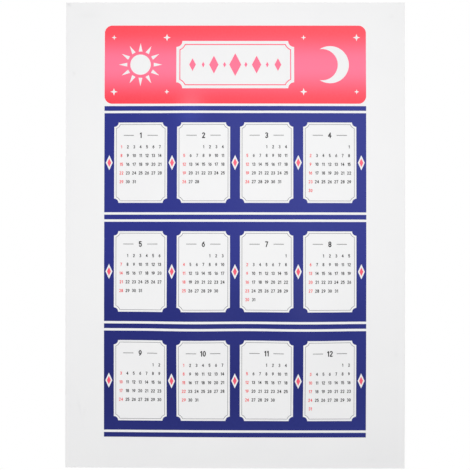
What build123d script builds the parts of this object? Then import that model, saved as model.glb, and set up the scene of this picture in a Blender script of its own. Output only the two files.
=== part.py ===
from build123d import *
import os
from math import cos, pi, sin

# A yearly wall calendar: one large sheet of satin-coated paper, printed on its front only and
# hung by its top strip. The sheet is thin, so it doesn't hang dead flat: it bows off the wall
# between its strip and its foot, and two soft upright flutes stand out of its lower half.
#
# The print is an even layout of twelve white month plaques in navy bands, under a coral header
# with a sun, a moon, stars and a title plaque. Paper shows wherever there is no ink, so the
# plaques, the sun, the moon and the stars are openings in the ink. Each ink is a film that follows
# the sheet's front, drawn thicker than real ink so that it is still a solid when the curved sheet
# is meshed.
#
# Frame, in millimetres: X to the viewer's right, Z up, the wall at +Y and the viewer at -Y. The
# origin is the middle of the flat strip's back, where the sheet is fixed to the wall.

# Sheet
SHEET_WIDTH = 397.0
SHEET_HEIGHT = 545.0
SHEET_THICKNESS = 0.28
STRIP_HEIGHT = 24.0  # the part at the top that lies flat on the wall

# How the sheet's back stands off the wall below its strip
BOW_DEPTH = 6.5  # of the long bow, on the middle line
BOW_SHARE = 0.9  # of the bow's half wave, which the sheet's foot cuts short
LEFT_LIFT = 1.5  # what the bow has besides at the left-hand edge
RIGHT_LIFT = 4.5  # and at the right-hand edge
EASE_HEIGHT = 80.0  # below the strip, where the sheet leaves the wall gradually
FLUTE_DEPTH = 7.0
FLUTE_PITCH = 136.0  # from one flute's crest to the other's
FLUTE_MIDDLE = 15.0  # the valley between the flutes, to the right of the sheet's middle line
FLUTE_DROP = 400.0  # from the sheet's top edge down to where the flutes are deepest
FLUTE_REACH = 150.0  # how far a flute runs up and down from there

# Ink
INK_THICKNESS = 0.2

# Layout of the print, from the sheet's top edge down
TOP_MARGIN = 27.0
HEADER_HEIGHT = 92.0
HEADER_CORNER = 9.0
RULE_HEIGHT = 5.5  # the navy rules above, between and below the bands
RULE_GAP = 2.8  # bare paper above and below a rule

# Month plaques, in rows on navy bands
ROWS = 3
COLUMNS = 4
PLAQUE_WIDTH = 62.0
PLAQUE_HEIGHT = 94.0
PLAQUE_SCOOP = 5.0  # radius of the scooped corners
GUTTER = 11.6  # navy beside each plaque
BAND_BORDER = 11.0  # navy above and below the plaques

# Coral lozenges in the gutters, each with bare paper around it
LOZENGE_WIDTH = 4.6
LOZENGE_HEIGHT = 10.0
LOZENGE_MARGIN = 1.6

# Header motifs
TITLE_WIDTH = 138.0
TITLE_HEIGHT = 56.0
TITLE_SCOOP = 7.0
TITLE_LOZENGES = 5
TITLE_LOZENGE_PITCH = 25.0
TITLE_LOZENGE_WIDTH = 14.0  # of the middle one
TITLE_LOZENGE_HEIGHT = 27.0
TITLE_LOZENGE_STEP = 0.22  # each one further out is smaller by this share of the middle one
SPACER_WIDTH = 3.4  # of the small lozenges between them
SPACER_HEIGHT = 6.6
MOTIF_OFFSET = 111.0  # from the middle line to the middles of the sun and the moon
SUN_RADIUS = 12.0
RAY_COUNT = 12
RAY_GAP = 3.5  # from the disc to the rays
RAY_LENGTH = 10.0
RAY_WIDTH = 4.6
MOON_RADIUS = 22.0
MOON_BITE_RADIUS = 18.5
MOON_BITE_OFFSET = 9.5
STAR_POINTS = 4
STAR_WAIST = 0.36  # depth of the notches between a star's points, as a share of its radius
LARGE_STAR_RADIUS = 4.4
SMALL_STAR_RADIUS = 3.0
STAR_SPREAD = 31.0  # from a motif's middle to the stars on either side of it
STAR_RISE = 32.0  # and to the stars above and below it

# Spacing of the places where the sheet's form is worked out
FORM_SPACING = 16.0

# Values that follow from the sizes above
SHEET_TOP = STRIP_HEIGHT / 2
STRIP_FOOT = SHEET_TOP - STRIP_HEIGHT
SHEET_FOOT = SHEET_TOP - SHEET_HEIGHT
PRINT_WIDTH = COLUMNS * PLAQUE_WIDTH + (COLUMNS + 1) * GUTTER
BAND_HEIGHT = PLAQUE_HEIGHT + 2 * BAND_BORDER
RULE_PITCH = BAND_HEIGHT + RULE_HEIGHT + 2 * RULE_GAP
HEADER_MIDDLE = SHEET_TOP - TOP_MARGIN - HEADER_HEIGHT / 2
FIRST_RULE = SHEET_TOP - TOP_MARGIN - HEADER_HEIGHT - RULE_GAP - RULE_HEIGHT / 2
PRISM_DEPTH = 2 * (BOW_DEPTH + RIGHT_LIFT + LEFT_LIFT + FLUTE_DEPTH)


def ease(share):
    """0 at a share of 0 and 1 at a share of 1, level at both ends."""
    share = min(max(share, 0.0), 1.0)
    return share**3 * (10 - 15 * share + 6 * share**2)


def hump(share):
    """1 in the middle, falling smoothly to 0 at a share of 1 to either side."""
    return (0.5 + 0.5 * cos(pi * share)) ** 2 if abs(share) < 1 else 0.0


def stand_off(x, z):
    """How far the sheet's back stands off the wall at a place on it."""
    fall = (STRIP_FOOT - z) / (STRIP_FOOT - SHEET_FOOT)
    edges = LEFT_LIFT + (RIGHT_LIFT - LEFT_LIFT) * ease(x / SHEET_WIDTH + 0.5)
    bow = sin(pi * BOW_SHARE * fall) * (BOW_DEPTH * cos(pi * x / SHEET_WIDTH) + edges)
    level = hump((SHEET_TOP - FLUTE_DROP - z) / FLUTE_REACH)
    turn = (x - FLUTE_MIDDLE) / FLUTE_PITCH
    across = 0.5 - 0.5 * cos(2 * pi * turn) if abs(turn) < 1 else 0.0
    return ease((STRIP_FOOT - z) / EASE_HEIGHT) * (bow + FLUTE_DEPTH * level * across)


def evenly(low, high):
    """Places from low to high, both included, about the form spacing apart."""
    steps = max(round(abs(high - low) / FORM_SPACING), 4)
    return [low + (high - low) * i / steps for i in range(steps + 1)]


def sheet_layer(lift, thickness):
    """A layer of the whole sheet's outline and form, its back lifted off the sheet's own back."""
    heights = evenly(STRIP_FOOT, SHEET_FOOT)
    grid = [
        [Vector(x, -lift - stand_off(x, z), z) for z in heights]
        for x in evenly(-SHEET_WIDTH / 2, SHEET_WIDTH / 2)
    ]
    back = Face.make_surface_from_array_of_points(grid, tol=0.001)
    strip = Pos(0, -lift - thickness / 2, 0) * Box(SHEET_WIDTH, thickness, STRIP_HEIGHT)
    return strip + Solid.extrude(back, Vector(0, -thickness, 0))


def lozenge(width, height):
    """A diamond shape standing on its point."""
    corners = [(width / 2, 0), (0, height / 2), (-width / 2, 0), (0, -height / 2)]
    return Polygon(*corners, align=None)


def plaque(width, height, scoop):
    """A rectangle whose corners are scooped out by quarter circles."""
    corners = GridLocations(width, height, 2, 2)
    return Rectangle(width, height) - [place * Circle(scoop) for place in corners]


def sun():
    """A disc with tapered rays around it."""
    start = SUN_RADIUS + RAY_GAP
    corners = [(start, RAY_WIDTH / 2), (start, -RAY_WIDTH / 2), (start + RAY_LENGTH, 0)]
    ray = Polygon(*corners, align=None)
    return Circle(SUN_RADIUS) + [place * ray for place in PolarLocations(0, RAY_COUNT)]


def moon():
    """A crescent, open to the left."""
    return Circle(MOON_RADIUS) - Pos(-MOON_BITE_OFFSET, 0) * Circle(MOON_BITE_RADIUS)


def star(radius):
    """A star with tapered points."""
    steps = 2 * STAR_POINTS
    corners = []
    for number in range(steps):
        reach = radius * STAR_WAIST if number % 2 else radius
        turn = 2 * pi * number / steps
        corners.append((reach * cos(turn), reach * sin(turn)))
    return Polygon(*corners, align=None)


def stars():
    """Four stars around a motif, large ones on one diagonal and small ones on the other."""
    return [
        Pos(side * STAR_SPREAD, level * STAR_RISE)
        * star(LARGE_STAR_RADIUS if side == level else SMALL_STAR_RADIUS)
        for side in (-1, 1)
        for level in (-1, 1)
    ]


def rule_middle(number):
    """Height of the middle of a navy rule, counted from 0 below the header."""
    return FIRST_RULE - number * RULE_PITCH


def band_middle(row):
    """Height of the middle of a band, which lies between two rules."""
    return (rule_middle(row) + rule_middle(row + 1)) / 2


def plaque_places():
    """The middles of all month plaques."""
    pitch = PLAQUE_WIDTH + GUTTER
    return [
        Pos((column - (COLUMNS - 1) / 2) * pitch, band_middle(row))
        for row in range(ROWS)
        for column in range(COLUMNS)
    ]


def gutter_places():
    """The middles of all gutters, beside and between the plaques."""
    pitch = PLAQUE_WIDTH + GUTTER
    return [
        Pos((column - COLUMNS / 2) * pitch, band_middle(row))
        for row in range(ROWS)
        for column in range(COLUMNS + 1)
    ]


def title_marks():
    """The title plaque's lozenges, smaller from the middle outwards, with spacers between them."""
    middle = (TITLE_LOZENGES - 1) / 2
    spacer = lozenge(SPACER_WIDTH, SPACER_HEIGHT)
    marks = []
    for number in range(TITLE_LOZENGES):
        size = 1 - TITLE_LOZENGE_STEP * abs(number - middle)
        mark = lozenge(size * TITLE_LOZENGE_WIDTH, size * TITLE_LOZENGE_HEIGHT)
        marks.append(Pos((number - middle) * TITLE_LOZENGE_PITCH, 0) * mark)
    for number in range(TITLE_LOZENGES - 1):
        marks.append(Pos((number + 0.5 - middle) * TITLE_LOZENGE_PITCH, 0) * spacer)
    return marks


def coral_outline():
    """The header field with its openings, and the lozenges on its plaque and in the gutters."""
    field = RectangleRounded(PRINT_WIDTH, HEADER_HEIGHT, HEADER_CORNER)
    field -= plaque(TITLE_WIDTH, TITLE_HEIGHT, TITLE_SCOOP)
    field -= [Pos(-MOTIF_OFFSET, 0) * motif for motif in [sun(), *stars()]]
    field -= [Pos(MOTIF_OFFSET, 0) * motif for motif in [moon(), *stars()]]
    header = Pos(0, HEADER_MIDDLE) * (field + title_marks())
    mark = lozenge(LOZENGE_WIDTH, LOZENGE_HEIGHT)
    return header + [place * mark for place in gutter_places()]


def navy_outline():
    """The bands, with their plaques and lozenges left open, and the rules above and below them."""
    band = Rectangle(PRINT_WIDTH, BAND_HEIGHT)
    rule = Rectangle(PRINT_WIDTH, RULE_HEIGHT)
    fields = [Pos(0, band_middle(row)) * band for row in range(ROWS)]
    fields += [Pos(0, rule_middle(number)) * rule for number in range(ROWS + 1)]
    month = plaque(PLAQUE_WIDTH, PLAQUE_HEIGHT, PLAQUE_SCOOP)
    mark = lozenge(LOZENGE_WIDTH, LOZENGE_HEIGHT)
    opening = offset(mark, LOZENGE_MARGIN, kind=Kind.INTERSECTION)
    openings = [place * month for place in plaque_places()]
    openings += [place * opening for place in gutter_places()]
    return Sketch() + fields - openings


def ink_film(outline, film):
    """The parts of an ink film that lie in front of a flat outline."""
    return film & extrude(Plane.XZ * outline, PRISM_DEPTH)


film = sheet_layer(SHEET_THICKNESS, INK_THICKNESS)
nodes = {
    "sheet": sheet_layer(0, SHEET_THICKNESS),
    "coral_print": ink_film(coral_outline(), film),
    "navy_print": ink_film(navy_outline(), film),
}

os.makedirs("parts", exist_ok=True)
for name, node in nodes.items():
    export_step(node, os.path.join("parts", name + ".step"))
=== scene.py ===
"""Looks of a yearly wall calendar: one satin paper sheet, hung by its top strip and printed in four inks.

Every piece is worked out on the sheet's own form, a height field over the wall: x runs to the
viewer's right, z up, and the sheet stands off the wall towards -Y. Sizes are in metres.
"""

import logging
import math
from collections.abc import Callable
from dataclasses import dataclass, field
from enum import Enum

import bpy
import numpy as np
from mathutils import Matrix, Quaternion, Vector
from mathutils.geometry import delaunay_2d_cdt


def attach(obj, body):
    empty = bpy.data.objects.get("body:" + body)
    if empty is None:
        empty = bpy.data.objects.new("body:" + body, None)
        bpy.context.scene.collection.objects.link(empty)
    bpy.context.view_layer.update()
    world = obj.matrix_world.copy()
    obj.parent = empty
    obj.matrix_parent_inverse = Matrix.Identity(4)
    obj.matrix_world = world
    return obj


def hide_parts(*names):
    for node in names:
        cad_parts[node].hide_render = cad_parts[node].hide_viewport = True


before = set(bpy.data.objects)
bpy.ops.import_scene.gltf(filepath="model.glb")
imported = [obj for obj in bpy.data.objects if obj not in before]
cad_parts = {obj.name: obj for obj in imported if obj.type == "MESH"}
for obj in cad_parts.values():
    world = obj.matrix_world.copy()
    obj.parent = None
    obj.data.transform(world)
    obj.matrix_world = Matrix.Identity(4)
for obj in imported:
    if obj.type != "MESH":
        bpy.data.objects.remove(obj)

LOG = logging.getLogger("calendar")
MM = 0.001

# A place in x and z, a linear colour, and a flat mesh: points, and triangles of their numbers
Place = tuple[float, float]
Colour = tuple[float, float, float, float]
FlatMesh = tuple[np.ndarray, np.ndarray]

WHITE: Colour = (1.0, 1.0, 1.0, 1.0)

# delaunay_2d_cdt's way to give back every triangle of the points' convex hull
ALL_TRIANGLES = 0


class Slot(Enum):
    """The record's material slots."""

    PAPER = "paper"
    CORAL = "coral_ink"
    NAVY = "navy_ink"
    DARK = "dark_ink"
    GREY = "grey_ink"


# Form of the sheet and layout of its print


@dataclass(frozen=True)
class Dent:
    """A soft swelling left in the paper by handling, or a hollow where its height is negative."""

    x: float
    drop: float
    reach: float
    height: float


@dataclass(frozen=True)
class Ripple:
    """One wave of the paper's slow cockle, whose pace is in radians for each metre."""

    across: float
    up: float
    start: float
    share: float = 1.0


def ease(share: np.ndarray) -> np.ndarray:
    """Return 10 s^3 - 15 s^4 + 6 s^5, level at both ends, for a share s held between 0 and 1."""
    s = np.clip(share, 0.0, 1.0)
    return s**3 * (10 - 15 * s + 6 * s**2)


@dataclass(frozen=True)
class SheetForm:
    """The sheet's outline and how far it stands off the wall."""

    width: float = 397 * MM
    height: float = 545 * MM
    thickness: float = 0.28 * MM
    strip_height: float = 24 * MM
    bow_depth: float = 6.5 * MM
    bow_share: float = 0.9
    left_lift: float = 1.5 * MM
    right_lift: float = 4.5 * MM
    ease_height: float = 80 * MM
    flute_depth: float = 7 * MM
    flute_pitch: float = 136 * MM
    flute_middle: float = 15 * MM
    flute_drop: float = 400 * MM
    flute_reach: float = 150 * MM
    cockle_height: float = 0.1 * MM
    ripples: tuple[Ripple, ...] = (
        Ripple(71, 23, 0.4),
        Ripple(-38, 64, 1.9),
        Ripple(112, -47, 3.1, 0.7),
    )
    curl_reach: float = 6.5 * MM
    curl_height: float = 1.5 * MM
    dents: tuple[Dent, ...] = (
        Dent(-54 * MM, 121 * MM, 24 * MM, 0.7 * MM),
        Dent(80 * MM, 190 * MM, 34 * MM, 0.5 * MM),
        Dent(-118 * MM, 262 * MM, 40 * MM, -0.4 * MM),
        Dent(128 * MM, 300 * MM, 36 * MM, 0.35 * MM),
        Dent(-20 * MM, 330 * MM, 30 * MM, 0.4 * MM),
        Dent(-140 * MM, 452 * MM, 44 * MM, 0.5 * MM),
        Dent(96 * MM, 486 * MM, 38 * MM, -0.4 * MM),
        Dent(174 * MM, 22 * MM, 7 * MM, 0.12 * MM),
        Dent(188 * MM, 19 * MM, 6 * MM, 0.14 * MM),
        Dent(-189 * MM, 83 * MM, 3.5 * MM, 0.15 * MM),
        Dent(188 * MM, 412 * MM, 5 * MM, 0.12 * MM),
    )

    @property
    def top(self) -> float:
        """Height of the top edge above the origin."""
        return self.strip_height / 2

    @property
    def foot(self) -> float:
        """Height of the bottom edge, which lies below the origin."""
        return self.top - self.height

    @property
    def strip_foot(self) -> float:
        """Height of the flat strip's lower edge."""
        return self.top - self.strip_height

    def stand_off(self, x: np.ndarray, z: np.ndarray) -> np.ndarray:
        """Work out how far the sheet's back stands off the wall.

        The long bow is a sine down the sheet times a cosine across it, over a lift that grows
        from the left edge to the right. The flutes are one raised cosine across, two crests
        wide, times a squared raised cosine up and down. All of it eases in below the strip.

        Args:
            x: Places across the sheet.
            z: Heights, of the same shape as x.

        Returns:
            The distance from the wall at each place.
        """
        fall = (self.strip_foot - z) / (self.strip_foot - self.foot)
        lift = self.left_lift + (self.right_lift - self.left_lift) * ease(x / self.width + 0.5)
        across = self.bow_depth * np.cos(np.pi * x / self.width) + lift
        bow = np.sin(np.pi * self.bow_share * np.clip(fall, 0, None)) * across
        reach = np.clip((self.top - self.flute_drop - z) / self.flute_reach, -1, 1)
        level = (0.5 + 0.5 * np.cos(np.pi * reach)) ** 2
        turn = np.clip((x - self.flute_middle) / self.flute_pitch, -1, 1)
        flutes = self.flute_depth * level * (0.5 - 0.5 * np.cos(2 * np.pi * turn))
        return self.leave(z) * (bow + flutes + self.cockle(x, z)) + self.handling(x, z)

    def leave(self, z: np.ndarray) -> np.ndarray:
        """Return 0 on the strip, eased to 1 where the sheet has left the wall."""
        return ease((self.strip_foot - z) / self.ease_height)

    def cockle(self, x: np.ndarray, z: np.ndarray) -> np.ndarray:
        """Return the paper's slow waviness: a sum of sine waves that run in different directions."""
        waves = [r.share * np.sin(r.across * x + r.up * z + r.start) for r in self.ripples]
        return self.cockle_height * sum(waves)

    def handling(self, x: np.ndarray, z: np.ndarray) -> np.ndarray:
        """Work out what handling has left: the dents, and the upper left corner's curled tip.

        Each dent is a Gaussian bell, exp(-(r / reach)^2). The tip lifts off the wall as the
        square of how far a place lies past the curl's start, measured towards the corner.

        Args:
            x: Places across the sheet.
            z: Heights, of the same shape as x.

        Returns:
            A height at each place.
        """
        from_corner = (x + self.width / 2 + self.top - z) / math.sqrt(2)
        height = self.curl_height * np.clip(1 - from_corner / self.curl_reach, 0, None) ** 2
        for dent in self.dents:
            away = ((x - dent.x) ** 2 + (self.top - dent.drop - z) ** 2) / dent.reach**2
            height = height + dent.height * np.exp(-away)
        return height

    def front(self, x: np.ndarray, z: np.ndarray, lift: float = 0.0) -> np.ndarray:
        """Return the y of the sheet's front, or of a film lifted off it."""
        return -self.stand_off(x, z) - self.thickness - lift


@dataclass(frozen=True)
class PrintLayout:
    """Sizes of the print, from the sheet's top edge down, and the places that follow from them."""

    form: SheetForm
    top_margin: float = 27 * MM
    header_height: float = 92 * MM
    header_corner: float = 9 * MM
    rule_height: float = 5.5 * MM
    rule_gap: float = 2.8 * MM
    rows: int = 3
    columns: int = 4
    plaque_width: float = 62 * MM
    plaque_height: float = 94 * MM
    plaque_scoop: float = 5 * MM
    gutter: float = 11.6 * MM
    band_border: float = 11 * MM
    lozenge_width: float = 4.6 * MM
    lozenge_height: float = 10 * MM
    lozenge_margin: float = 1.6 * MM
    title_width: float = 138 * MM
    title_height: float = 56 * MM
    title_scoop: float = 7 * MM
    title_lozenges: int = 5
    title_lozenge_pitch: float = 25 * MM
    title_lozenge_width: float = 14 * MM
    title_lozenge_height: float = 27 * MM
    title_lozenge_step: float = 0.22
    spacer_width: float = 3.4 * MM
    spacer_height: float = 6.6 * MM
    motif_offset: float = 111 * MM
    sun_radius: float = 12 * MM
    ray_count: int = 12
    ray_gap: float = 3.5 * MM
    ray_length: float = 10 * MM
    ray_width: float = 4.6 * MM
    moon_radius: float = 22 * MM
    moon_bite_radius: float = 18.5 * MM
    moon_bite_offset: float = 9.5 * MM
    star_points: int = 4
    star_waist: float = 0.36
    large_star_radius: float = 4.4 * MM
    small_star_radius: float = 3 * MM
    star_spread: float = 31 * MM
    star_rise: float = 32 * MM

    @property
    def width(self) -> float:
        """Width of the printed bands and of the header."""
        return self.columns * self.plaque_width + (self.columns + 1) * self.gutter

    @property
    def band_height(self) -> float:
        """Height of a navy band."""
        return self.plaque_height + 2 * self.band_border

    @property
    def rule_pitch(self) -> float:
        """Distance from one navy rule to the next."""
        return self.band_height + self.rule_height + 2 * self.rule_gap

    @property
    def plaque_size(self) -> tuple[float, float, float]:
        """Width and height of a month plaque, and the radius of its scooped corners."""
        return self.plaque_width, self.plaque_height, self.plaque_scoop

    @property
    def title_size(self) -> tuple[float, float, float]:
        """The same three sizes of the title plaque."""
        return self.title_width, self.title_height, self.title_scoop

    @property
    def header_middle(self) -> Place:
        """Middle of the header."""
        return 0.0, self.form.top - self.top_margin - self.header_height / 2

    def rule_middle(self, number: int) -> float:
        """Height of a rule's middle, counted from 0 below the header."""
        header_foot = self.form.top - self.top_margin - self.header_height
        return header_foot - self.rule_gap - self.rule_height / 2 - number * self.rule_pitch

    def band_middle(self, row: int) -> float:
        """Height of a band's middle, which lies between two rules."""
        return self.rule_middle(row) - self.rule_pitch / 2

    def in_band(self, row: int, count: int) -> list[Place]:
        """Spread places evenly along a band's middle line, as far apart as the plaques.

        Args:
            row: The band, counted from 0 at the top.
            count: How many places it has.

        Returns:
            The places, from the left.
        """
        pitch = self.plaque_width + self.gutter
        middle = self.band_middle(row)
        return [((column - (count - 1) / 2) * pitch, middle) for column in range(count)]

    @property
    def plaques(self) -> list[Place]:
        """Middles of the month plaques, in the order of the year."""
        return [place for row in range(self.rows) for place in self.in_band(row, self.columns)]

    @property
    def gutters(self) -> list[Place]:
        """Middles of the gutters beside and between the plaques, from the top band down."""
        return [place for row in range(self.rows) for place in self.in_band(row, self.columns + 1)]


# Flat outlines, each a closed loop of points in x and z, counterclockwise unless it says otherwise


def arc(
    centre: Place, radius: float | Place, start: float, end: float, step: float = 6.0
) -> np.ndarray:
    """Lay points along an arc of a circle or of an oval, both ends included and three at least.

    Args:
        centre: The arc's centre.
        radius: Its radius, or an oval's half width and half height.
        start: Angle of the first point, in degrees.
        end: Angle of the last point, in degrees.
        step: About how many degrees apart the points are.

    Returns:
        The centre plus the radius times (cos t, sin t), for even steps of the angle t.
    """
    count = max(int(abs(end - start) / step) + 1, 3)
    turn = np.radians(np.linspace(start, end, count))
    return np.array(centre) + np.stack([np.cos(turn), np.sin(turn)], axis=1) * np.array(radius)


def circle(radius: float) -> np.ndarray:
    """Return a full circle around the origin."""
    return arc((0, 0), radius, 0, 360)[:-1]


def rounded_rectangle(width: float, height: float, corner: float) -> np.ndarray:
    """Return a rectangle whose corners are rounded by quarter circles.

    Args:
        width: Its full width.
        height: Its full height.
        corner: Radius of the quarter circles.

    Returns:
        The four quarter circles, joined by the straight sides between them.
    """
    x, z = width / 2 - corner, height / 2 - corner
    corners = [((x, -z), -90), ((x, z), 0), ((-x, z), 90), ((-x, -z), 180)]
    return np.vstack([arc(centre, corner, start, start + 90) for centre, start in corners])


def rectangle(width: float, height: float) -> np.ndarray:
    """Return a plain rectangle."""
    x, z = width / 2, height / 2
    return np.array([(-x, -z), (x, -z), (x, z), (-x, z)])


def plaque(width: float, height: float, scoop: float, inset: float = 0.0) -> np.ndarray:
    """Return a rectangle whose corners are scooped out, or the line a little inside it.

    Args:
        width: Full width of the plaque.
        height: Full height.
        scoop: Radius of the scooped corners.
        inset: Distance of the line inside the plaque's edge.

    Returns:
        The loop, whose corner arcs keep the plaque's corners as their centres.
    """
    x, z = width / 2, height / 2
    lean = math.degrees(math.asin(inset / (scoop + inset)))
    corners = [((x, -z), 180), ((x, z), 270), ((-x, z), 0), ((-x, -z), 90)]
    return np.vstack(
        [arc(centre, scoop + inset, last - lean, last - 90 + lean) for centre, last in corners]
    )


def plaque_line(size: tuple[float, float, float], inset: float, weight: float) -> list[np.ndarray]:
    """Return a line of an even weight inside a plaque's edge, as one loop inside another."""
    return [plaque(*size, inset), plaque(*size, inset + weight)]


def lozenge(width: float, height: float, margin: float = 0.0) -> np.ndarray:
    """Return a diamond that stands on its point, grown by an even margin.

    Args:
        width: Width across the diamond, without the margin.
        height: Its height, without the margin.
        margin: Distance that every side is moved outwards.

    Returns:
        Four corners. Sides moved out by m move the corners out by m times the slant side over
        the other half diagonal.
    """
    x, z = width / 2, height / 2
    slant = math.hypot(x, z)
    x, z = x + margin * slant / z, z + margin * slant / x
    return np.array([(x, 0), (0, z), (-x, 0), (0, -z)])


def crescent(radius: float, bite: float, offset: float) -> np.ndarray:
    """Return a moon that is open to the left: a disc with another disc bitten out of it.

    Args:
        radius: Radius of the moon's disc, centred on the origin.
        bite: Radius of the bite, whose centre is offset to the left.
        offset: That offset.

    Returns:
        The outer arc and then the bite's arc back, between the two points where they cross.
    """
    x = (bite**2 - radius**2 - offset**2) / (2 * offset)
    z = math.sqrt(radius**2 - x**2)
    outer = math.degrees(math.atan2(z, x))
    inner = math.degrees(math.atan2(z, x + offset))
    back = arc((-offset, 0), bite, inner, -inner)[1:-1]
    return np.vstack([arc((0, 0), radius, -outer, outer), back])


def star(points: int, radius: float, waist: float) -> np.ndarray:
    """Return a star with tapered points.

    Args:
        points: How many points it has.
        radius: Distance of the points from the middle.
        waist: Distance of the notches between them, as a share of the radius.

    Returns:
        Points and notches by turns, evenly spaced around the middle.
    """
    turn = np.arange(2 * points) * np.pi / points
    reach = radius * np.where(np.arange(2 * points) % 2, waist, 1.0)
    return np.stack([reach * np.cos(turn), reach * np.sin(turn)], axis=1)


def moved(loops: list[np.ndarray], shift: Place) -> list[np.ndarray]:
    """Return loops moved by a distance across and a distance up."""
    return [loop + np.array(shift) for loop in loops]


def turned(loop: np.ndarray, degrees: float) -> np.ndarray:
    """Return a loop turned about the origin."""
    cosine, sine = math.cos(math.radians(degrees)), math.sin(math.radians(degrees))
    return loop @ np.array([(cosine, sine), (-sine, cosine)])


def ribbon(line: np.ndarray, weight: float, cap_step: float = 45) -> np.ndarray:
    """Return the outline of an even pen stroke with round ends.

    Args:
        line: Points along the stroke's smooth middle line.
        weight: Its full width.
        cap_step: Degrees from one point to the next around its ends.

    Returns:
        The line moved half a weight to its right, a half circle, the line moved as far to its
        left and run backwards, and a half circle.
    """
    along = np.gradient(line, axis=0)
    along /= np.linalg.norm(along, axis=1)[:, None]
    right = np.stack([along[:, 1], -along[:, 0]], axis=1) * weight / 2
    first, last = np.degrees(np.arctan2(along[[0, -1], 1], along[[0, -1], 0]))
    far = arc(line[-1], weight / 2, last - 90, last + 90, cap_step)[1:-1]
    near = arc(line[0], weight / 2, first + 90, first + 270, cap_step)[1:-1]
    return np.vstack([line + right, far, (line - right)[::-1], near])


def divided(loop: np.ndarray, spacing: float) -> np.ndarray:
    """Add points on a loop's long sides.

    Args:
        loop: A closed loop.
        spacing: The longest side that is left whole.

    Returns:
        The loop with evenly spaced points added.
    """
    following = np.roll(loop, -1, axis=0)
    counts = np.maximum(np.ceil(np.linalg.norm(following - loop, axis=1) / spacing), 1).astype(int)
    start = np.repeat(loop, counts, axis=0)
    step = np.repeat(following - loop, counts, axis=0)
    first = np.repeat(np.cumsum(counts) - counts, counts)
    share = (np.arange(counts.sum()) - first) / np.repeat(counts, counts)
    return start + step * share[:, None]


def crossings(points: np.ndarray, loops: list[np.ndarray]) -> tuple[np.ndarray, np.ndarray]:
    """Count the sides of loops that cross the ray to the right of each point.

    A side from a to b meets the ray's height z at a_x + (z - a_z) (b_x - a_x) / (b_z - a_z),
    which has to lie to the right of the point.

    Args:
        points: Points in x and z.
        loops: Closed loops.

    Returns:
        For each point, the number of sides that cross upwards, and of those that cross downwards.
    """
    a = np.vstack(loops)
    b = np.vstack([np.roll(loop, -1, axis=0) for loop in loops])
    x, z = points[:, :1], points[:, 1:]
    rise = np.where(b[:, 1] == a[:, 1], 1.0, b[:, 1] - a[:, 1])
    right = x < a[:, 0] + (z - a[:, 1]) * (b[:, 0] - a[:, 0]) / rise
    upwards = right & (a[:, 1] <= z) & (b[:, 1] > z)
    downwards = right & (a[:, 1] > z) & (b[:, 1] <= z)
    return upwards.sum(axis=1), downwards.sum(axis=1)


def inside(points: np.ndarray, loops: list[np.ndarray]) -> np.ndarray:
    """Tell which points have an odd number of crossings, where a loop in another is a hole."""
    upwards, downwards = crossings(points, loops)
    return (upwards + downwards) % 2 == 1


def covered(points: np.ndarray, loops: list[np.ndarray]) -> np.ndarray:
    """Tell which points loops that may overlap wind around, where a hole's loop is clockwise."""
    upwards, downwards = crossings(points, loops)
    return upwards > downwards


def filled(
    loops: list[np.ndarray],
    extra: np.ndarray,
    test: Callable[[np.ndarray, list[np.ndarray]], np.ndarray],
    merge: float,
) -> FlatMesh:
    """Fill loops with triangles.

    All loops and extra points are triangulated together, with the loops' sides kept as sides,
    and a triangle stays if its middle passes the test.

    Args:
        loops: Closed loops in x and z.
        extra: Points inside them that also become corners.
        test: Tells which points are inside the loops.
        merge: Distance under which two points become one.

    Returns:
        Points in x and z, and rows of three vertex numbers, counterclockwise.
    """
    ends = np.cumsum([len(loop) for loop in loops])
    numbers = np.split(np.arange(ends[-1]), ends[:-1])
    sides = np.vstack([np.stack([part, np.roll(part, -1)], axis=1) for part in numbers])
    points = np.vstack([*loops, extra])
    made = delaunay_2d_cdt(points.tolist(), sides.tolist(), [], ALL_TRIANGLES, merge)
    flat = np.array(made[0])
    triangles = np.array(made[2])
    triangles = triangles[test(flat[triangles].mean(axis=1), loops)]
    used, renumbered = np.unique(triangles, return_inverse=True)
    return flat[used], renumbered.reshape(-1, 3)


# Objects and meshes


def add_object(name: str, data: bpy.types.ID) -> bpy.types.Object:
    """Make an object at the origin and link it to the scene.

    Args:
        name: Its name.
        data: Its mesh, its camera or its lamp.

    Returns:
        The object.
    """
    made = bpy.data.objects.new(name, data)
    bpy.context.scene.collection.objects.link(made)
    return made


def make_piece(
    name: str, points: np.ndarray, faces: np.ndarray, sharp_angle: float = 40
) -> bpy.types.Object:
    """Make an object at the origin from arrays.

    Args:
        name: The piece's name.
        points: One row of x, y and z for each vertex.
        faces: One row of vertex numbers for each face, all of the same length.
        sharp_angle: Degrees between two faces past which their edge stays sharp.

    Returns:
        The linked object, smooth except across sharp edges.
    """
    mesh = bpy.data.meshes.new(name)
    mesh.vertices.add(len(points))
    mesh.vertices.foreach_set("co", np.ascontiguousarray(points, dtype=np.float32).ravel())
    mesh.loops.add(faces.size)
    mesh.loops.foreach_set("vertex_index", faces.astype(np.int32).ravel())
    mesh.polygons.add(len(faces))
    mesh.polygons.foreach_set("loop_start", np.arange(0, faces.size, faces.shape[1], dtype=np.int32))
    mesh.update(calc_edges=True)
    mesh.validate()
    mesh.shade_smooth()
    mesh.set_sharp_from_angle(angle=math.radians(sharp_angle))
    return add_object(name, mesh)


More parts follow.
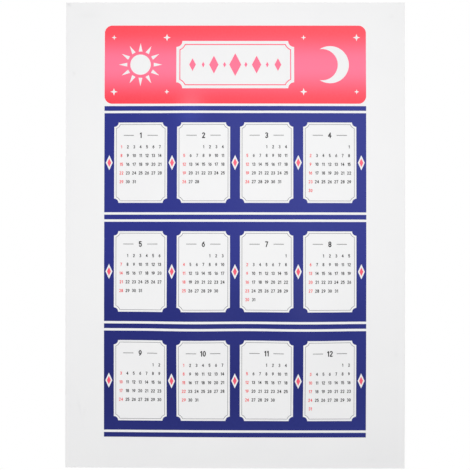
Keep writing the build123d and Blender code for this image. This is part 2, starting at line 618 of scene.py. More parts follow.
@dataclass
class FilmPress:
    """Presses flat shapes onto the sheet, as closed films of ink.

    The films follow the sheet with triangles about one spacing long, and are lifted off the
    paper by more than such a triangle can dip.
    """

    form: SheetForm
    spacing: float = 4 * MM
    lift: float = 0.09 * MM
    sink: float = 0.02 * MM
    merge: float = 0.0001 * MM
    batch: int = 500

    def cut(self, loops: list[np.ndarray]) -> FlatMesh:
        """Fill an even-odd set of loops with triangles that can follow the sheet.

        Points of a square lattice fill the loops' inside, so that most triangles are about one
        lattice step long.

        Args:
            loops: Closed loops in x and z.

        Returns:
            Points in x and z, and rows of three vertex numbers, counterclockwise.
        """
        loops = [divided(loop, self.spacing) for loop in loops]
        edge_points = np.vstack(loops)
        low, high = edge_points.min(axis=0), edge_points.max(axis=0)
        axes = [np.arange(low[i] + self.spacing / 2, high[i], self.spacing) for i in (0, 1)]
        lattice = np.stack(np.meshgrid(*axes), axis=-1).reshape(-1, 2)
        if len(lattice):
            lattice = lattice[inside(lattice, loops)]
            lattice = lattice[self.clear_of(lattice, edge_points)]
        return filled(loops, lattice, inside, self.merge)

    def clear_of(self, points: np.ndarray, others: np.ndarray) -> np.ndarray:
        """Tell which points are at least a third of a lattice step from all others.

        Args:
            points: Points in x and z, taken in batches to keep the table of distances small.
            others: The points to stay away from.

        Returns:
            One truth value for each point.
        """
        clear = np.ones(len(points), dtype=bool)
        for part in np.array_split(np.arange(len(points)), len(points) // self.batch + 1):
            away = np.linalg.norm(points[part, None] - others[None], axis=2)
            clear[part] = away.min(axis=1) > self.spacing / 3
        return clear

    def film(self, name: str, flat: np.ndarray, triangles: np.ndarray) -> bpy.types.Object:
        """Make a closed film of a flat mesh: its face, its back and a wall along each open edge.

        Args:
            name: The piece's name.
            flat: Points in x and z.
            triangles: Rows of three vertex numbers, counterclockwise.

        Returns:
            The film, whose back is sunk a little into the paper.
        """
        x, z = flat[:, 0], flat[:, 1]
        face = np.stack([x, self.form.front(x, z, self.lift), z], axis=1)
        back = np.stack([x, self.form.front(x, z, -self.sink), z], axis=1)
        sides = triangles[:, [0, 1, 1, 2, 2, 0]].reshape(-1, 2)
        keys = np.sort(sides, axis=1)
        _, first, count = np.unique(keys, axis=0, return_index=True, return_counts=True)
        rim = sides[first[count == 1]]
        shift = len(flat)
        walls = np.vstack(
            [
                np.stack([rim[:, 1], rim[:, 0], rim[:, 0] + shift], axis=1),
                np.stack([rim[:, 1], rim[:, 0] + shift, rim[:, 1] + shift], axis=1),
            ]
        )
        faces = np.vstack([triangles, triangles[:, ::-1] + shift, walls])
        return make_piece(name, np.vstack([face, back]), faces)

    def print_loops(self, name: str, groups: list[list[np.ndarray]]) -> bpy.types.Object:
        """Cut each group of loops, none of which may touch another, and make them all one film."""
        return self.film(name, *joined([self.cut(group) for group in groups]))


def joined(parts: list[FlatMesh]) -> FlatMesh:
    """Put several flat meshes into one pair of arrays.

    Args:
        parts: Points and triangles of each mesh.

    Returns:
        All points, and all triangles with their numbers shifted to match.
    """
    shifts = np.cumsum([0] + [len(points) for points, _ in parts[:-1]])
    points = np.vstack([points for points, _ in parts])
    return points, np.vstack([faces + shift for shift, (_, faces) in zip(shifts, parts)])


# Finishes


class Wire:
    """An output socket that can stand in a Python expression."""

    def __init__(self, bench: "Bench", socket: bpy.types.NodeSocket) -> None:
        """Keep the socket and the bench that it belongs to."""
        self.bench = bench
        self.socket = socket

    def maths(self, operation: str, *values: "Wire | float") -> "Wire":
        """Return the result of one Math node's operation on values, in order."""
        return self.bench.node("ShaderNodeMath", {"operation": operation}, dict(enumerate(values)))

    def __add__(self, other: "Wire | float") -> "Wire":
        """Return the sum."""
        return self.maths("ADD", self, other)

    def __radd__(self, other: float) -> "Wire":
        """Return the sum, from a plain number on the left."""
        return self.maths("ADD", other, self)

    def __sub__(self, other: "Wire | float") -> "Wire":
        """Return the difference."""
        return self.maths("SUBTRACT", self, other)

    def __rsub__(self, other: float) -> "Wire":
        """Return a plain number less this."""
        return self.maths("SUBTRACT", other, self)

    def __mul__(self, other: "Wire | float") -> "Wire":
        """Return the product."""
        return self.maths("MULTIPLY", self, other)

    def __rmul__(self, other: float) -> "Wire":
        """Return the product, from a plain number on the left."""
        return self.maths("MULTIPLY", other, self)

    def __abs__(self) -> "Wire":
        """Return the distance from zero."""
        return self.maths("ABSOLUTE", self)

    def least(self, other: "Wire | float") -> "Wire":
        """Return the lesser of two values."""
        return self.maths("MINIMUM", self, other)

    def bell(self) -> "Wire":
        """Return exp(-v^2), which is 1 at zero and fades to either side."""
        return self.maths("EXPONENT", -1.0 * (self * self))


class Bench:
    """One node tree, and the one way in which its nodes are made."""

    def __init__(self, owner: bpy.types.Material | bpy.types.World) -> None:
        """Empty a node tree.

        Args:
            owner: The material, or the world, that the tree belongs to.
        """
        owner.use_nodes = True
        self.tree = owner.node_tree
        self.tree.nodes.clear()

    def node(
        self,
        kind: str,
        settings: dict[str, object] | None = None,
        inputs: dict[int | str, object] | None = None,
        output: int | str = 0,
    ) -> Wire:
        """Add a node.

        Args:
            kind: The node's type.
            settings: Its properties, set first. "stops" holds a ramp's places and colours.
            inputs: Values or wires for its input sockets, by number or name.
            output: The output socket to return.

        Returns:
            That output as a wire.
        """
        made = self.tree.nodes.new(kind)
        for name, value in (settings or {}).items():
            if name == "stops":
                self.set_stops(made.color_ramp, value)
            else:
                setattr(made, name, value)
        for key, value in (inputs or {}).items():
            if isinstance(value, Wire):
                self.tree.links.new(value.socket, made.inputs[key])
            else:
                made.inputs[key].default_value = value
        return Wire(self, made.outputs[output] if made.outputs else None)

    @staticmethod
    def set_stops(ramp: bpy.types.ColorRamp, stops: list[tuple[float, Colour]]) -> None:
        """Give a ramp its places and colours, eased from one to the next.

        Args:
            ramp: A new ramp, which has two stops.
            stops: Two or more places from 0 to 1, each with its colour.
        """
        ramp.interpolation = "EASE"
        while len(ramp.elements) < len(stops):
            ramp.elements.new(0.5)
        for element, (place, colour) in zip(ramp.elements, stops):
            element.position = place
            element.color = colour

    def object_place(self) -> tuple[Wire, Wire, Wire]:
        """Return Object coordinates, and their x and z."""
        place = self.node("ShaderNodeTexCoord", output="Object")
        return place, *(self.node("ShaderNodeSeparateXYZ", {}, {0: place}, axis) for axis in "XZ")

    def noise(self, place: Wire, scale: float, detail: float) -> Wire:
        """Return a noise pattern from 0 to 1, at a scale in turns for each metre."""
        inputs = {"Vector": place, "Scale": scale, "Detail": detail}
        return self.node("ShaderNodeTexNoise", inputs=inputs)

    def bump(self, height: Wire, depth: float, strength: float = 0.6) -> Wire:
        """Return a normal for a surface that is raised by a pattern, up to a depth."""
        inputs = {"Height": height, "Distance": depth, "Strength": strength}
        return self.node("ShaderNodeBump", inputs=inputs)

    def mix(self, factor: Wire, first: Wire | Colour, second: Wire | Colour) -> Wire:
        """Mix two colours, from the first at a factor of 0 to the second at 1."""
        settings = {"data_type": "RGBA"}
        return self.node("ShaderNodeMix", settings, {0: factor, 6: first, 7: second}, output=2)

    def satin(self, colour: Wire, roughness: Wire, specular: float, normal: Wire) -> None:
        """Make the whole material one principled surface.

        Args:
            colour: Base colour.
            roughness: Roughness over the surface.
            specular: Specular level, the same everywhere.
            normal: The bumped normal.
        """
        surface = self.node(
            "ShaderNodeBsdfPrincipled",
            inputs={
                "Base Color": colour,
                "Roughness": roughness,
                "Specular IOR Level": specular,
                "Normal": normal,
            },
        )
        self.node("ShaderNodeOutputMaterial", inputs={"Surface": surface})


def srgb(red: int, green: int, blue: int) -> Colour:
    """Turn a screen colour into the linear colour that shaders use.

    Args:
        red: Red, from 0 to 255.
        green: Green.
        blue: Blue.

    Returns:
        For each a share s of 255, as s / 12.92 where it is dark and as
        ((s + 0.055) / 1.055)^2.4 elsewhere, and a full alpha.
    """
    steps = [value / 255 for value in (red, green, blue)]
    linear = [s / 12.92 if s <= 0.04045 else ((s + 0.055) / 1.055) ** 2.4 for s in steps]
    return (*linear, 1.0)


@dataclass(frozen=True)
class Scuff:
    """A faint soft patch, used for grey marks, painted shade and painted sheen: an ellipse that fades out
    from its middle.
    """

    x: float
    drop: float
    width: float
    height: float
    lean: float
    strength: float

    def mask(self, x: Wire, z: Wire, top: float) -> Wire:
        """Work out the mark's strength at each place.

        Args:
            x: Places across the sheet.
            z: Heights on it.
            top: Height of the sheet's top edge.

        Returns:
            strength * exp(-u^2) * exp(-v^2), u and v being the distances across the leaning
            ellipse and along it, as shares of its half width and half height.
        """
        cosine, sine = math.cos(math.radians(self.lean)), math.sin(math.radians(self.lean))
        across, up = x - self.x, z - (top - self.drop)
        u = (across * cosine + up * sine) * (2 / self.width)
        v = (up * cosine - across * sine) * (2 / self.height)
        return self.strength * (u.bell() * v.bell())


@dataclass(frozen=True)
class PaperFinish:
    """Satin-coated paper: a plain white with slow, faint clouds and a very fine tooth."""

    name: str = "satin_paper"
    colour: Colour = srgb(237, 237, 237)
    cloud: Colour = srgb(233, 233, 234)
    worn: Colour = srgb(196, 196, 198)
    roughness: float = 0.5
    roughness_spread: float = 0.08
    specular: float = 0.32
    cloud_scale: float = 14.0
    cloud_detail: float = 3.0
    tooth_scale: float = 2600.0
    tooth_detail: float = 4.0
    tooth_depth: float = 0.012 * MM
    rim_width: float = 1.0 * MM
    rim_strength: float = 0.08
    scuffs: tuple[Scuff, ...] = (
        # The first mark is painted shade on the curled upper left corner tip, and those 83, 16 and 412 mm
        # down are painted shade over small dents; the rest are grey marks.
        Scuff(-195.5 * MM, 2.5 * MM, 6 * MM, 4 * MM, -20, 0.3),
        Scuff(-189 * MM, 83 * MM, 3.5 * MM, 5 * MM, 10, 0.14),
        Scuff(-182 * MM, 474 * MM, 3.5 * MM, 22 * MM, 12, 0.09),
        Scuff(-176 * MM, 480 * MM, 3 * MM, 16 * MM, -14, 0.06),
        Scuff(-172 * MM, 15 * MM, 26 * MM, 7 * MM, 0, 0.07),
        Scuff(183 * MM, 16 * MM, 6 * MM, 5 * MM, 30, 0.08),
        Scuff(188 * MM, 412 * MM, 4 * MM, 5 * MM, 0, 0.09),
        Scuff(160 * MM, 535 * MM, 9 * MM, 4 * MM, 5, 0.06),
    )

    def wear(self, x: Wire, z: Wire, form: SheetForm) -> Wire:
        """Work out where the paper is grey: its marks, some of them painted shade, and a fine line at its
        edges.

        Args:
            x: Places across the sheet.
            z: Heights on it.
            form: The sheet's form.

        Returns:
            The share of the worn and shaded colour at each place.
        """
        edge = (form.width / 2 - abs(x)).least(form.top - z).least(z - form.foot)
        share = self.rim_strength * (edge * (1 / self.rim_width)).bell()
        for soft_patch in self.scuffs:
            share = share + soft_patch.mask(x, z, form.top)
        return share

    def make(self, form: SheetForm) -> bpy.types.Material:
        """Build the paper's material.

        Args:
            form: The form of the sheet that wears it.

        Returns:
            The material, which reads Object coordinates only.
        """
        material = bpy.data.materials.new(self.name)
        bench = Bench(material)
        place, x, z = bench.object_place()
        clouds = bench.noise(place, self.cloud_scale, self.cloud_detail)
        tooth = bench.noise(place, self.tooth_scale, self.tooth_detail)
        white = bench.mix(clouds, self.colour, self.cloud)
        bench.satin(
            colour=bench.mix(self.wear(x, z, form), white, self.worn),
            roughness=self.roughness + self.roughness_spread * (tooth - 0.5),
            specular=self.specular,
            normal=bench.bump(tooth, self.tooth_depth),
        )
        return material


@dataclass(frozen=True)
class InkFinish:
    """A printed ink, faintly mottled where the paper takes it unevenly.

    Its tones are colours at distances down the sheet, and it fades from each to the next. It
    also turns paler towards the sheet's right edge and in two soft patches, which are painted sheen.
    """

    name: str
    thin: Colour
    tones: tuple[tuple[float, Colour], ...]
    roughness: float = 0.4
    roughness_spread: float = 0.08
    specular: float = 0.16
    mottling: float = 0.12
    thinning: float = 0.0
    mottle_scale: float = 420.0
    mottle_detail: float = 5.0
    tooth_scale: float = 2600.0
    tooth_detail: float = 4.0
    tooth_depth: float = 0.008 * MM
    # Two soft patches of painted sheen, where the ink is paler.
    rubbed: tuple[Scuff, ...] = (
        Scuff(-53 * MM, 125 * MM, 30 * MM, 42 * MM, -8, 0.36),
        Scuff(86 * MM, 196 * MM, 44 * MM, 60 * MM, 6, 0.15),
    )

    def tone(self, z: Wire, form: SheetForm) -> Wire | Colour:
        """Work out the ink's full colour at each height.

        Args:
            z: Heights on the sheet.
            form: The sheet's form.

        Returns:
            The one tone, or a ramp of them down the sheet.
        """
        if len(self.tones) == 1:
            return self.tones[0][1]
        drop = (form.top - z) * (1 / form.height)
        stops = [(down / form.height, colour) for down, colour in self.tones]
        return z.bench.node("ShaderNodeValToRGB", {"stops": stops}, {0: drop})

    def make(self, form: SheetForm) -> bpy.types.Material:
        """Build the ink's material.

        Args:
            form: The form of the sheet that it is printed on.

        Returns:
            The material, which reads Object coordinates only.
        """
        material = bpy.data.materials.new(self.name)
        bench = Bench(material)
        place, x, z = bench.object_place()
        mottle = bench.noise(place, self.mottle_scale, self.mottle_detail)
        tooth = bench.noise(place, self.tooth_scale, self.tooth_detail)
        # The paling towards the right edge and the soft patches are painted sheen; the mottle is the
        # ink's own.
        share = self.mottling * mottle + self.thinning * (x * (1 / form.width) + 0.5)
        for soft_patch in self.rubbed:
            share = share + soft_patch.mask(x, z, form.top)
        bench.satin(
            colour=bench.mix(share, self.tone(z, form), self.thin),
            roughness=self.roughness + self.roughness_spread * (mottle - 0.5),
            specular=self.specular,
            normal=bench.bump(tooth, self.tooth_depth),
        )
        return material


CORAL_INK = InkFinish(
    name="printed_coral",
    thin=srgb(255, 132, 150),
    # The paling towards the right edge is painted sheen.
    thinning=0.08,
    # The pink band across the header is print; the lozenges darken from 190 to 330 mm down as painted
    # shade.
    tones=(
        (31.5 * MM, srgb(251, 69, 82)),
        (70 * MM, srgb(252, 117, 149)),
        (76 * MM, srgb(252, 118, 150)),
        (118 * MM, srgb(245, 60, 74)),
        (132 * MM, srgb(243, 58, 68)),
        (190 * MM, srgb(246, 100, 124)),
        (330 * MM, srgb(238, 88, 112)),
    ),
)
NAVY_INK = InkFinish(
    name="printed_navy",
    thin=srgb(64, 76, 170),
    # The paling towards the right edge is painted sheen.
    thinning=0.17,
    # These tones darken towards the foot as painted shade.
    tones=(
        (110 * MM, srgb(33, 41, 127)),
        (290 * MM, srgb(31, 38, 124)),
        (370 * MM, srgb(21, 28, 105)),
        (470 * MM, srgb(22, 27, 99)),
        (500 * MM, srgb(25, 32, 104)),
    ),
)
DARK_INK = InkFinish(
    name="printed_black", thin=srgb(70, 70, 74), tones=((0.0, srgb(20, 20, 24)),), rubbed=()
)
RED_NUMBER_INK = InkFinish(
    name="printed_red", thin=srgb(250, 150, 155), tones=((0.0, srgb(236, 78, 84)),), rubbed=()
)
GREY_INK = InkFinish(
    name="printed_grey", thin=srgb(190, 190, 193), tones=((0.0, srgb(140, 140, 144)),), rubbed=()
)


# Pieces of the calendar


def dress(piece: bpy.types.Object, material: bpy.types.Material) -> bpy.types.Object:
    """Give a piece its material.

    Args:
        piece: The piece.
        material: Its material.

    Returns:
        The same piece.
    """
    piece.data.materials.append(material)
    return piece


@dataclass
class PaperSheet:
    """The sheet of paper itself, as a closed skin of even thickness."""

    form: SheetForm
    spacing: float = 2.85 * MM
    gathering: float = 0.6
    finish: PaperFinish = field(default_factory=PaperFinish)

    def steps(self, length: float) -> np.ndarray:
        """Return shares t - g sin(2 pi t) / (2 pi) of a length, closer together near its ends."""
        share = np.linspace(0, 1, round(length / self.spacing) + 1)
        return share - self.gathering * np.sin(2 * np.pi * share) / (2 * np.pi)

    def skin(self) -> tuple[np.ndarray, np.ndarray]:
        """Work out the skin.

        The front is a grid in x and z, the back is the same grid one thickness nearer the wall,
        and a row of faces closes the gap along the edges.

        Returns:
            Points, and faces of four vertex numbers.
        """
        form = self.form
        x, z = np.meshgrid(
            (self.steps(form.width) - 0.5) * form.width,
            form.foot + self.steps(form.height) * form.height,
        )
        front = np.stack([x, form.front(x, z), z], axis=-1).reshape(-1, 3)
        back = np.stack([x, -form.stand_off(x, z), z], axis=-1).reshape(-1, 3)
        number = np.arange(x.size).reshape(x.shape)
        cells = np.stack(
            [number[:-1, :-1], number[:-1, 1:], number[1:, 1:], number[1:, :-1]], axis=-1
        ).reshape(-1, 4)
        rim = np.concatenate([number[0, :-1], number[:-1, -1], number[-1, :0:-1], number[:0:-1, 0]])
        following = np.roll(rim, -1)
        shift = x.size
        walls = np.stack([following, rim, rim + shift, following + shift], axis=1)
        return np.vstack([front, back]), np.vstack([cells, cells[:, ::-1] + shift, walls])

    def build(self) -> bpy.types.Object:
        """Make the sheet in place of its solid.

        Returns:
            The sheet.
        """
        sheet = make_piece("paper_sheet", *self.skin())
        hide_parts("sheet")
        return dress(sheet, self.finish.make(self.form))


@dataclass
class ColourFields:
    """The print's fields of colour: the coral header and lozenges, and the navy bands and rules."""

    layout: PrintLayout
    press: FilmPress
    title_line_inset: float = 3.6 * MM
    title_line_weight: float = 1.1 * MM

    def title_line(self) -> list[np.ndarray]:
        """Return the coral line inside the title plaque's edge."""
        line = plaque_line(self.layout.title_size, self.title_line_inset, self.title_line_weight)
        return moved(line, self.layout.header_middle)

    def sun(self) -> list[np.ndarray]:
        """Draw the sun around the origin.

        Returns:
            Its disc, and its rays, which are slim triangles that point outwards.
        """
        plan = self.layout
        near, side = plan.sun_radius + plan.ray_gap, plan.ray_width / 2
        ray = np.array([(near, -side), (near + plan.ray_length, 0), (near, side)])
        turns = [number * 360 / plan.ray_count for number in range(plan.ray_count)]
        return [circle(plan.sun_radius), *(turned(ray, turn) for turn in turns)]

    def stars(self) -> list[np.ndarray]:
        """Lay four stars around a motif, large ones on one diagonal and small ones on the other.

        Returns:
            The stars.
        """
        plan = self.layout
        marks = []
        for side in (-1, 1):
            for level in (-1, 1):
                radius = plan.large_star_radius if side == level else plan.small_star_radius
                mark = star(plan.star_points, radius, plan.star_waist)
                marks += moved([mark], (side * plan.star_spread, level * plan.star_rise))
        return marks

    def title_marks(self) -> list[np.ndarray]:
        """Lay the title plaque's lozenges, smaller from the middle outwards, and their spacers.

        Returns:
            The lozenges and then the spacers, both from the left.
        """
        plan = self.layout
        middle = (plan.title_lozenges - 1) / 2
        spacer = lozenge(plan.spacer_width, plan.spacer_height)
        marks = []
        for number in range(plan.title_lozenges):
            size = 1 - plan.title_lozenge_step * abs(number - middle)
            mark = lozenge(size * plan.title_lozenge_width, size * plan.title_lozenge_height)
            marks += moved([mark], ((number - middle) * plan.title_lozenge_pitch, 0))
        for number in range(plan.title_lozenges - 1):
            marks += moved([spacer], ((number + 0.5 - middle) * plan.title_lozenge_pitch, 0))
        return marks

    def coral_loops(self) -> list[list[np.ndarray]]:
        """Work out the coral ink's loops: the header with its openings, and every lozenge.

        Returns:
            One group of loops for each separate field.
        """
        plan = self.layout
        header = [rounded_rectangle(plan.width, plan.header_height, plan.header_corner)]
        header.append(plaque(*plan.title_size))
        moon = crescent(plan.moon_radius, plan.moon_bite_radius, plan.moon_bite_offset)
        header += moved(self.sun() + self.stars(), (-plan.motif_offset, 0))
        header += moved([moon, *self.stars()], (plan.motif_offset, 0))
        groups = [moved(header, plan.header_middle)]
        groups += [moved([mark], plan.header_middle) for mark in self.title_marks()]
        mark = lozenge(plan.lozenge_width, plan.lozenge_height)
        return groups + [moved([mark], place) for place in plan.gutters]

    def navy_loops(self) -> list[list[np.ndarray]]:
        """Work out the navy ink's loops: the bands with their openings, and the rules.

        Returns:
            One group of loops for each band, and then for each rule.
        """
        plan = self.layout
        band = rectangle(plan.width, plan.band_height)
        rule = rectangle(plan.width, plan.rule_height)
        month = plaque(*plan.plaque_size)
        gap = lozenge(plan.lozenge_width, plan.lozenge_height, plan.lozenge_margin)
        groups = []
        for row in range(plan.rows):
            groups.append(moved([band], (0, plan.band_middle(row))))
            for loop, count in ((month, plan.columns), (gap, plan.columns + 1)):
                for place in plan.in_band(row, count):
                    groups[-1] += moved([loop], place)
        for number in range(plan.rows + 1):
            groups.append(moved([rule], (0, plan.rule_middle(number))))
        return groups

    def build(self) -> list[bpy.types.Object]:
        """Make both inks in place of their solids, and the title plaque's line.

        Returns:
            The coral fields, the line and the navy fields.
        """
        coral = self.press.print_loops("coral_fields", self.coral_loops())
        line = self.press.print_loops("title_line", [self.title_line()])
        navy = self.press.print_loops("navy_fields", self.navy_loops())
        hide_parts("coral_print")
        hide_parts("navy_print")
        coral_ink = CORAL_INK.make(self.layout.form)
        navy_ink = NAVY_INK.make(self.layout.form)
        return [
            dress(coral, coral_ink),
            dress(line, coral_ink),
            dress(navy, navy_ink),
        ]


@dataclass(frozen=True)
class Glyph:
    """One digit as a flat mesh, one unit tall, with the origin at its left and half its height."""

    points: np.ndarray
    triangles: np.ndarray

    @property
    def width(self) -> float:
        """Width of the digit."""
        return float(self.points[:, 0].max())


@dataclass
class Numerals:
    """Plain digits, drawn one unit tall with a single even pen.

    The middle line of the pen reaches as far to each side, and up and down, as the digit's
    width and height leave room for. Shares are of those two reaches, and the lower share is of
    what the upper oval leaves. Turns are angles in degrees at which an arc starts and ends.
    """

    weight: float = 0.175
    width: float = 0.56
    upper_share: float = 0.48
    upper_width_share: float = 0.92
    lower_share: float = 0.97
    bowl_height: float = 0.27
    flag_reach: float = 0.17
    flag_drop: float = 0.15
    hook_turns: Place = (160, -35)
    bow_turn: float = 150
    belly_turns: Place = (150, -145)
    belly_bar_shares: Place = (0.85, -0.8)
    lean_middle_share: float = 1.6
    lean_reach_share: float = 2.6
    lean_turns: Place = (180, 112)
    stem_share: float = 0.45
    bar_share: float = -0.36
    bar_reach_share: float = 1.2
    foot_share: float = -0.35
    step: float = 22.5
    gap: float = 0.1
    merge: float = 0.002
    glyphs: dict[str, Glyph] = field(default_factory=dict)

    def __post_init__(self) -> None:
        """Fill every digit's strokes."""
        for digit, loops in self.drawn().items():
            points, triangles = filled(loops, np.empty((0, 2)), covered, self.merge)
            self.glyphs[digit] = Glyph(points - np.array([points[:, 0].min(), 0.0]), triangles)

    def drawn(self) -> dict[str, list[np.ndarray]]:
        """Draw the digits from straight strokes, arcs of ovals, and closed ovals.

        The 2, the 3 and the 8 have an upper oval and what is left below it, the 5, the 6 and
        the 9 share one bowl, and the 9 is the 6 turned over.

        Returns:
            Each digit's loops, around the middle of its cell.
        """
        x, top = (self.width - self.weight) / 2, (1 - self.weight) / 2
        high, bowl = self.upper_share * top, self.bowl_height
        low = top - high
        narrow = (self.upper_width_share * x, high)
        lower = (x, self.lower_share * low)
        hook = np.vstack([self.bow(top - high, (x, high), *self.hook_turns), [(-x, -top)]])
        belly = self.bow(bowl - top, (x, bowl), *self.belly_turns)
        right, left = (share * x for share in self.belly_bar_shares)
        stem, bar, reach = self.stem_share * x, self.bar_share * top, self.bar_reach_share * x
        lean_middle = (self.lean_middle_share * x, bowl - top)
        lean_radii = (self.lean_reach_share * x, 2 * top - bowl)
        lean = arc(lean_middle, lean_radii, *self.lean_turns, self.step)
        six = [self.penned(lean), *self.oval(bowl - top, (x, bowl))]
        return {
            "0": self.oval(0.0, (x, top)),
            "1": self.lines((-self.flag_reach, top - self.flag_drop), (0, top), (0, -top)),
            "2": [self.penned(hook), *self.lines((-x, -top), (x, -top))],
            "3": [
                self.penned(self.bow(top - high, narrow, self.bow_turn, -90)),
                self.penned(self.bow(low - top, (x, low), 90, -self.bow_turn)),
            ],
            "4": [
                *self.lines((stem, top), (stem, -top)),
                *self.lines((stem, top), (-reach, bar), (reach, bar)),
            ],
            "5": [*self.lines((right, top), (left, top), belly[0]), self.penned(belly)],
            "6": six,
            "7": self.lines((-x, top), (x, top), (self.foot_share * x, -top)),
            "8": self.oval(top - high, narrow) + self.oval(lower[1] - top, lower),
            "9": [-loop for loop in six],
        }

    def bow(self, middle: float, radii: Place, start: float, end: float) -> np.ndarray:
        """Return part of an oval around a height on the digit's middle line."""
        return arc((0.0, middle), radii, start, end, self.step)

    def oval(self, middle: float, radii: Place) -> list[np.ndarray]:
        """Return a closed oval stroke's outer loop, and its inner one, which is clockwise."""
        outer, inner = (np.array(radii) + side * self.weight / 2 for side in (1, -1))
        return [self.bow(middle, outer, 0, 360)[:-1], self.bow(middle, inner, 360, 0)[:-1]]

    def penned(self, line: np.ndarray) -> np.ndarray:
        """Return the outline of a stroke along a line."""
        return ribbon(line, self.weight)

    def lines(self, *places: Place) -> list[np.ndarray]:
        """Return the outlines of straight strokes from each place to the next."""
        return [self.penned(np.array(ends)) for ends in zip(places, places[1:])]

    def write(self, number: int, place: Place, height: float) -> list[FlatMesh]:
        """Write a number around a place.

        Args:
            number: The number.
            place: Its middle, in x and z.
            height: Height of a digit.

        Returns:
            One flat mesh for each digit.
        """
        glyphs = [self.glyphs[digit] for digit in str(number)]
        left = -(sum(glyph.width for glyph in glyphs) + self.gap * (len(glyphs) - 1)) / 2
        parts = []
        for glyph in glyphs:
            points = (glyph.points + np.array([left, 0.0])) * height
            parts.append((points + np.array(place), glyph.triangles))
            left += glyph.width + self.gap
        return parts


@dataclass
class YearPrint:
    """The numbers on the plaques, and the fine lines around them."""

    layout: PrintLayout
    press: FilmPress
    numerals: Numerals = field(default_factory=Numerals)
    month_lengths: tuple[int, ...] = (31, 28, 31, 30, 31, 30, 31, 31, 30, 31, 30, 31)
    week: int = 7
    day_height: float = 3.8 * MM
    day_pitch: float = 7.5 * MM
    week_pitch: float = 10.2 * MM
    heading_height: float = 6.6 * MM
    heading_drop: float = 15 * MM
    first_week_drop: float = 28.5 * MM
    line_weight: float = 0.55 * MM
    line_inset: float = 2.1 * MM
    dash_length: float = 12 * MM
    dash_gap: float = 8 * MM

    def days(self) -> list[tuple[int, int, int, int]]:
        """Lay out a common year that begins on the first day of the week.

        Returns:
            For each day its month from 0, its number, its week's row and its column.
        """
        laid = []
        first = 0
        for month, length in enumerate(self.month_lengths):
            laid += [(month, day + 1, *divmod(first + day, self.week)) for day in range(length)]
            first = (first + length) % self.week
        return laid

    def day_meshes(self, first_column: bool) -> list[FlatMesh]:
        """Write the days' numbers.

        Args:
            first_column: Whether it is the days of the first column, or all the others.

        Returns:
            One flat mesh for each digit.
        """
        places = self.layout.plaques
        parts = []
        for month, day, row, column in self.days():
            if (column == 0) != first_column:
                continue
            x, z = places[month]
            x += (column - (self.week - 1) / 2) * self.day_pitch
            z += self.layout.plaque_height / 2 - self.first_week_drop - row * self.week_pitch
            parts += self.numerals.write(day, (x, z), self.day_height)
        return parts

    def heading_meshes(self) -> list[FlatMesh]:
        """Write the months' numbers, each between two short dashes.

        Returns:
            One flat mesh for each digit and each dash.
        """
        dash = rectangle(self.dash_length, self.line_weight)
        parts = []
        for month, (x, z) in enumerate(self.layout.plaques):
            z += self.layout.plaque_height / 2 - self.heading_drop
            parts += self.numerals.write(month + 1, (x, z), self.heading_height)
            for side in (-1, 1):
                away = side * (self.dash_gap + self.dash_length / 2)
                parts.append(self.press.cut(moved([dash], (x + away, z))))
        return parts

    def line_groups(self) -> list[list[np.ndarray]]:
        """Return the fine line inside each plaque's edge."""
        line = plaque_line(self.layout.plaque_size, self.line_inset, self.line_weight)
        return [moved(line, place) for place in self.layout.plaques]

    def build(self) -> list[bpy.types.Object]:
        """Make the numbers and the fine lines.

        Returns:
            The dark numbers, the coral numbers and the grey lines.
        """
        form = self.layout.form
        dark = self.press.film("dark_numbers", *joined(self.day_meshes(False) + self.heading_meshes()))
        coral = self.press.film("coral_numbers", *joined(self.day_meshes(True)))
        lines = self.press.print_loops("grey_lines", self.line_groups())
        return [
            dress(dark, DARK_INK.make(form)),
            dress(coral, RED_NUMBER_INK.make(form)),
            dress(lines, GREY_INK.make(form)),
        ]


# Studio


@dataclass(frozen=True)
class Lamp:
    """A square soft lamp, placed from the sheet's middle and aimed at a height above it."""

    name: str
    away: tuple[float, float, float]
    aim: float
    size: float
    power: float
    beam: float = 180.0


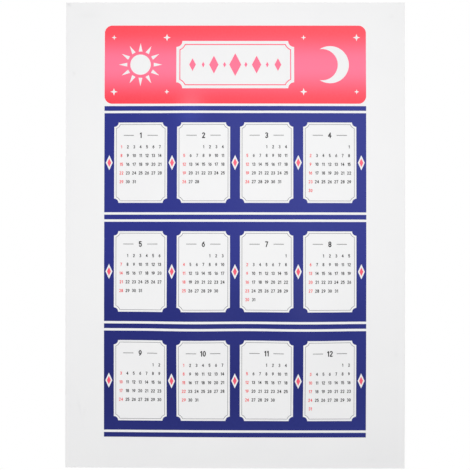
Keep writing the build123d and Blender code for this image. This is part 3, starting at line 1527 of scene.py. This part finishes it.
@dataclass
class Studio:
    """Camera, lamps, plain white surroundings and a pale floor that fades into them."""

    form: SheetForm
    photo_side: float = 470.0
    sheet_pixels: float = 465.0
    camera_distance: float = 1.25
    camera_azimuth: float = 0.35
    camera_rise: float = -0.2
    camera_roll: float = 0.08
    sensor: float = 36.0
    ambient: float = 0.747
    floor_drop: float = 0.25
    floor_radius: float = 1.05
    floor_grey: float = 0.9
    fade_start: float = 0.3
    fade_end: float = 0.966
    lamps: tuple[Lamp, ...] = (
        Lamp("key_lamp", away=(0.2, -1.2, 0.3), aim=0.1, size=0.6, power=0.64, beam=65.0),
        Lamp("fill_lamp", away=(-1.4, -1.0, 0.1), aim=0.0, size=1.2, power=3.0),
        Lamp("back_lamp", away=(0.6, 1.6, 0.8), aim=0.0, size=1.4, power=9.0),
    )

    @property
    def middle(self) -> Vector:
        """The sheet's middle."""
        return Vector((0.0, 0.0, (self.form.top + self.form.foot) / 2))

    def set_camera(self) -> None:
        """Set the camera almost square in front, so that the sheet is as tall as in the photo.

        It stands a fraction of a degree to the right of the sheet's middle and below it, and is
        turned as little about its own axis.
        """
        data = bpy.data.cameras.new("camera")
        data.sensor_width = self.sensor
        view_height = self.form.height * self.photo_side / self.sheet_pixels
        data.lens = self.sensor * self.camera_distance / view_height
        data.dof.use_dof = False
        camera = add_object("camera", data)
        side, rise = math.radians(self.camera_azimuth), math.radians(self.camera_rise)
        away = Vector((math.sin(side), -math.cos(side), math.tan(rise)))
        camera.location = self.middle + away * self.camera_distance
        aim = (-away).to_track_quat("-Z", "Y")
        roll = Quaternion((0.0, 0.0, 1.0), math.radians(self.camera_roll))
        camera.rotation_euler = (aim @ roll).to_euler()
        bpy.context.scene.camera = camera

    def set_lamp(self, lamp: Lamp) -> None:
        """Set up one lamp.

        Args:
            lamp: Its name, place, aim, size, power and beam.
        """
        data = bpy.data.lights.new(lamp.name, "AREA")
        data.size = lamp.size
        data.energy = lamp.power
        data.spread = math.radians(lamp.beam)
        made = add_object(lamp.name, data)
        made.location = self.middle + Vector(lamp.away)
        aim = self.middle + Vector((0.0, 0.0, lamp.aim))
        made.rotation_euler = (aim - made.location).to_track_quat("-Z", "Y").to_euler()

    def set_world(self) -> None:
        """Light the scene evenly, and show plain white to camera, glossy and transmission rays."""
        world = bpy.data.worlds.new("plain_white")
        bpy.context.scene.world = world
        bench = Bench(world)
        rays = ("Is Camera Ray", "Is Glossy Ray", "Is Transmission Ray")
        camera, glossy, through = (bench.node("ShaderNodeLightPath", output=ray) for ray in rays)
        lit = bench.node("ShaderNodeBackground", inputs={0: WHITE, "Strength": self.ambient})
        shown = bench.node("ShaderNodeBackground", inputs={0: WHITE, "Strength": 1.0})
        seen = camera + glossy + through
        mixed = bench.node("ShaderNodeMixShader", inputs={0: seen, 1: lit, 2: shown})
        bench.node("ShaderNodeOutputWorld", inputs={"Surface": mixed})

    def lay_floor(self) -> None:
        """Lay a pale level square below the sheet, which fades to white with distance."""
        corners = rectangle(2 * self.floor_radius, 2 * self.floor_radius)
        level = np.full((len(corners), 1), self.form.foot - self.floor_drop)
        floor = make_piece("floor", np.hstack([corners, level]), np.arange(len(corners))[None])
        floor.data.materials.append(self.floor_material())

    def floor_material(self) -> bpy.types.Material:
        """Build a pale matt floor that turns to plain white light with distance.

        Returns:
            The material, which fades between two distances from the origin.
        """
        material = bpy.data.materials.new("pale_floor")
        bench = Bench(material)
        place = bench.node("ShaderNodeTexCoord", output="Object")
        flat = bench.node("ShaderNodeVectorMath", {"operation": "MULTIPLY"}, {0: place, 1: (1, 1, 0)})
        away = bench.node("ShaderNodeVectorMath", {"operation": "LENGTH"}, {0: flat}, "Value")
        faded = (away - self.fade_start) * (1 / (self.fade_end - self.fade_start))
        settings = {"interpolation_type": "SMOOTHSTEP"}
        share = bench.node("ShaderNodeMapRange", settings, {"Value": faded})
        grey = (self.floor_grey, self.floor_grey, self.floor_grey, 1.0)
        matt = bench.node("ShaderNodeBsdfDiffuse", inputs={0: grey})
        white = bench.node("ShaderNodeEmission", inputs={0: WHITE, "Strength": 1.0})
        mixed = bench.node("ShaderNodeMixShader", inputs={0: share, 1: matt, 2: white})
        bench.node("ShaderNodeOutputMaterial", inputs={"Surface": mixed})
        return material

    def build(self) -> None:
        """Set up the whole studio."""
        self.set_camera()
        for lamp in self.lamps:
            self.set_lamp(lamp)
        self.set_world()
        self.lay_floor()
        bpy.context.scene.view_settings.view_transform = "Standard"


def main() -> None:
    """Build the studio and the calendar, and put each piece on its body."""
    logging.basicConfig(level=logging.INFO, format="%(message)s")
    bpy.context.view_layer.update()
    form = SheetForm()
    layout = PrintLayout(form)
    press = FilmPress(form)
    Studio(form).build()
    pieces = [PaperSheet(form).build()]
    pieces += ColourFields(layout, press).build()
    pieces += YearPrint(layout, press).build()
    for piece in pieces:
        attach(piece, "root")
        LOG.info("%s: %d faces", piece.name, len(piece.data.polygons))


if __name__ == "__main__":
    main()
